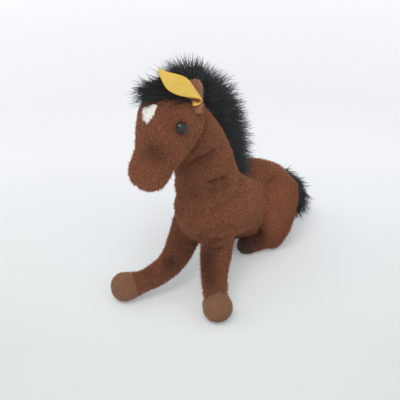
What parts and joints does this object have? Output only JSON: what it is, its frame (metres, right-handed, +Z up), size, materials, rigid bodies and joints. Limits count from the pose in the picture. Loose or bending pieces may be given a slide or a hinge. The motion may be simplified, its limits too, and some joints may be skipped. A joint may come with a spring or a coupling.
{
  "type": "plush horse",
  "caption": "Seated brown plush foal with a black mane and tail, a white star, lighter velour hooves and a blank woven ribbon on its ear.",
  "frame": {"origin": "on the floor, under the middle of the foal's outline seen from above", "axes": "+X to the foal's left, -Y the way that it faces, +Z up"},
  "size_m": [0.103, 0.2264, 0.2037],
  "materials": {
    "plush": "short brown plush pile",
    "hoof": "light brown velour",
    "lining": "tan velour",
    "hair": "long black pile",
    "star": "white plush pile",
    "filling": "loose polyester fibre",
    "eye": "polished black",
    "washer": "moulded",
    "ribbon": "woven yellow ribbon"
  },
  "bodies": {
    "foal": {"torso_cover": "plush", "torso_filling": "filling", "neck_cover": "plush", "neck_filling": "filling", "mane": "hair"},
    "head": {"head_cover": "plush", "head_filling": "filling", "eye_left": "eye", "eye_right": "eye", "eye_washer_left": "washer", "eye_washer_right": "washer", "forelock": "hair", "forehead_star": "star"},
    "ear_left": {"ear_left": "plush", "ear_lining_left": "lining"},
    "ear_right": {"ear_right": "plush", "ear_lining_right": "lining"},
    "ribbon": {"ear_ribbon": "ribbon"},
    "tail": {"tail": "hair"},
    "foreleg_left": {"foreleg_cover_left": "plush", "foreleg_filling_left": "filling", "fore_hoof_left": "hoof"},
    "hind_leg_left": {"hind_leg_cover_left": "plush", "hind_leg_filling_left": "filling", "hind_hoof_left": "hoof"},
    "foreleg_right": {"foreleg_cover_right": "plush", "foreleg_filling_right": "filling", "fore_hoof_right": "hoof"},
    "hind_leg_right": {"hind_leg_cover_right": "plush", "hind_leg_filling_right": "filling", "hind_hoof_right": "hoof"}
  },
  "joints": [
    {"name": "head_turn", "type": "hinge", "parent": "foal", "child": "head", "pos_m": [-0.00449, -0.07284, 0.158], "axis": [0, 0, 1], "range_deg": [-12, 12]},
    {"name": "ear_left_tip", "type": "hinge", "parent": "head", "child": "ear_left", "pos_m": [0.01604, -0.0754, 0.16731], "axis": [1, 0, 0], "range_deg": [-8, 8], "stiffness_Nm_per_rad": 0.004},
    {"name": "ear_right_tip", "type": "hinge", "parent": "head", "child": "ear_right", "pos_m": [-0.02356, -0.06479, 0.16731], "axis": [1, 0, 0], "range_deg": [-8, 8], "stiffness_Nm_per_rad": 0.004},
    {"name": "ribbon_flap", "type": "hinge", "parent": "ear_left", "child": "ribbon", "pos_m": [0.01716, -0.07675, 0.17689], "axis": [0, 0, 1], "range_deg": [0, 12]},
    {"name": "tail_lift", "type": "hinge", "parent": "foal", "child": "tail", "pos_m": [0.0003, 0.08862, 0.04892], "axis": [1, 0, 0], "range_deg": [0, 14]},
    {"name": "foreleg_left_swing", "type": "hinge", "parent": "foal", "child": "foreleg_left", "pos_m": [0.01511, -0.03964, 0.0505], "axis": [1, 0, 0], "range_deg": [-10, 10]},
    {"name": "hind_leg_left_swing", "type": "hinge", "parent": "foal", "child": "hind_leg_left", "pos_m": [0.0238, 0.04936, 0.044], "axis": [1, 0, 0], "range_deg": [-6, 6]},
    {"name": "foreleg_right_swing", "type": "hinge", "parent": "foal", "child": "foreleg_right", "pos_m": [-0.01449, -0.03964, 0.0505], "axis": [1, 0, 0], "range_deg": [-10, 10]},
    {"name": "hind_leg_right_swing", "type": "hinge", "parent": "foal", "child": "hind_leg_right", "pos_m": [-0.0232, 0.04936, 0.044], "axis": [1, 0, 0], "range_deg": [-6, 6]}
  ]
}
